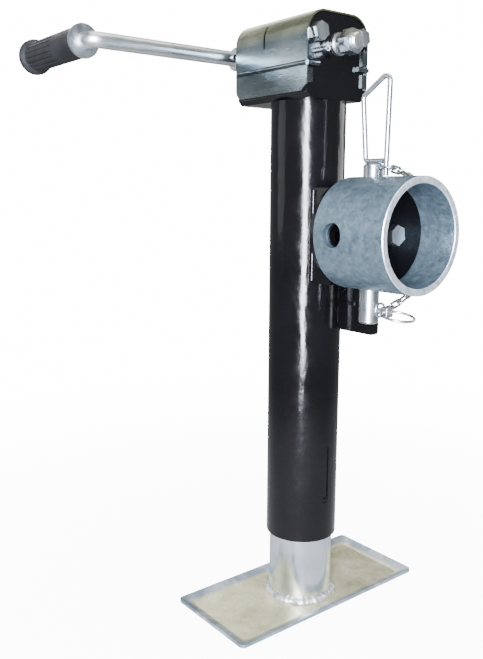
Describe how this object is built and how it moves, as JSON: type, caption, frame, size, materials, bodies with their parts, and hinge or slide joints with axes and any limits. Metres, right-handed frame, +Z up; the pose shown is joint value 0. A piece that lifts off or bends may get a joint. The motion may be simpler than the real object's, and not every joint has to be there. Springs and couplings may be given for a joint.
{
  "type": "trailer tongue jack",
  "caption": "Side-wind trailer jack: round tube with a telescoping leg and foot plate, a crank and gear housing, and a pipe swivel mount held by a pull pin.",
  "frame": {"origin": "centre of the foot plate's underside", "axes": "+Z up the jack, -Y out of the pipe mount's open end, +X along the foot plate's long side; at rest the crank arm points to -X"},
  "size_m": [0.2851, 0.3046, 0.5111],
  "materials": {
    "black_paint": "gloss",
    "cover_zinc": "bright zinc plate",
    "leg_zinc": "bright zinc plate",
    "galvanised": "hot-dip galvanised",
    "foot_zinc": "satin zinc plate",
    "crank_zinc": "satin zinc plate",
    "bright_zinc": "bright zinc plate",
    "weld_metal": "rough weld bead",
    "bare_steel": "oiled steel",
    "cast_nut": "as cast",
    "grip_rubber": "satin"
  },
  "bodies": {
    "jack_body": {"outer_tube": "black_paint", "key_screw": "black_paint", "gear_housing": "black_paint", "housing_cover": "cover_zinc", "housing_bolts": "bright_zinc", "front_roll_pin": "bright_zinc", "shaft_bushings": "bare_steel", "bearing_race_lower": "bare_steel", "thrust_balls": "bare_steel", "swivel_bracket": "black_paint", "bracket_welds": "black_paint", "swivel_hub": "black_paint", "hub_end_plate": "black_paint", "hub_bolt": "bright_zinc", "pipe_mount": "galvanised"},
    "crank": {"drive_shaft": "crank_zinc", "shaft_washer": "bright_zinc", "shaft_sleeve": "bright_zinc", "shaft_nut": "bright_zinc", "bevel_pinion": "bare_steel", "pinion_pin": "bare_steel", "crank_hub": "crank_zinc", "crank_rod": "crank_zinc", "crank_stop_pin": "bright_zinc", "grip_washer": "bright_zinc", "grip_retainer": "bright_zinc"},
    "grip": {"hand_grip": "grip_rubber"},
    "screw": {"lead_screw": "bare_steel", "bevel_gear": "bare_steel", "gear_pin": "bare_steel", "bearing_race_upper": "bare_steel", "screw_stop_washer": "bare_steel", "stop_pin": "bare_steel"},
    "leg": {"inner_tube": "leg_zinc", "screw_nut": "cast_nut", "nut_rivets": "bare_steel", "foot_plate": "foot_zinc", "foot_weld": "weld_metal"},
    "pull_pin_body": {"pull_pin": "bright_zinc", "pin_bail": "bright_zinc", "retaining_chain": "bright_zinc", "chain_end_rings": "bright_zinc"},
    "linch_pin_body": {"linch_pin": "bright_zinc"},
    "ring_body": {"linch_ring": "bright_zinc"}
  },
  "joints": [
    {"name": "crank_turn", "type": "hinge", "parent": "jack_body", "child": "crank", "pos_m": [0, 0, 0.4864], "axis": [0, 1, 0], "range_deg": [0, 21600]},
    {"name": "grip_spin", "type": "hinge", "parent": "crank", "child": "grip", "pos_m": [-0.1644, 0.13, 0.4864], "axis": [0, 1, 0], "continuous": true},
    {"name": "screw_turn", "type": "hinge", "parent": "jack_body", "child": "screw", "pos_m": [0, 0, 0.3], "axis": [0, 0, 1], "range_deg": [0, 14400]},
    {"name": "leg_slide", "type": "slide", "parent": "jack_body", "child": "leg", "axis": [0, 0, -1], "range_m": [0, 0.254]},
    {"name": "pull_pin_slide", "type": "slide", "parent": "jack_body", "child": "pull_pin_body", "axis": [0, 0, 1], "range_m": [0, 0.008]},
    {"name": "linch_pin_slide", "type": "slide", "parent": "pull_pin_body", "child": "linch_pin_body", "axis": [0, -1, 0], "range_m": [0, 0.01]},
    {"name": "ring_swing", "type": "hinge", "parent": "linch_pin_body", "child": "ring_body", "pos_m": [0, -0.0935, 0.2778], "axis": [1, 0, 0], "range_deg": [-20, 70]}
  ],
  "couplings": [
    {"joint": "screw_turn", "follows": "crank_turn", "ratio": 0.66667},
    {"joint": "leg_slide", "follows": "crank_turn", "m_per_rad": 0.00067376}
  ]
}
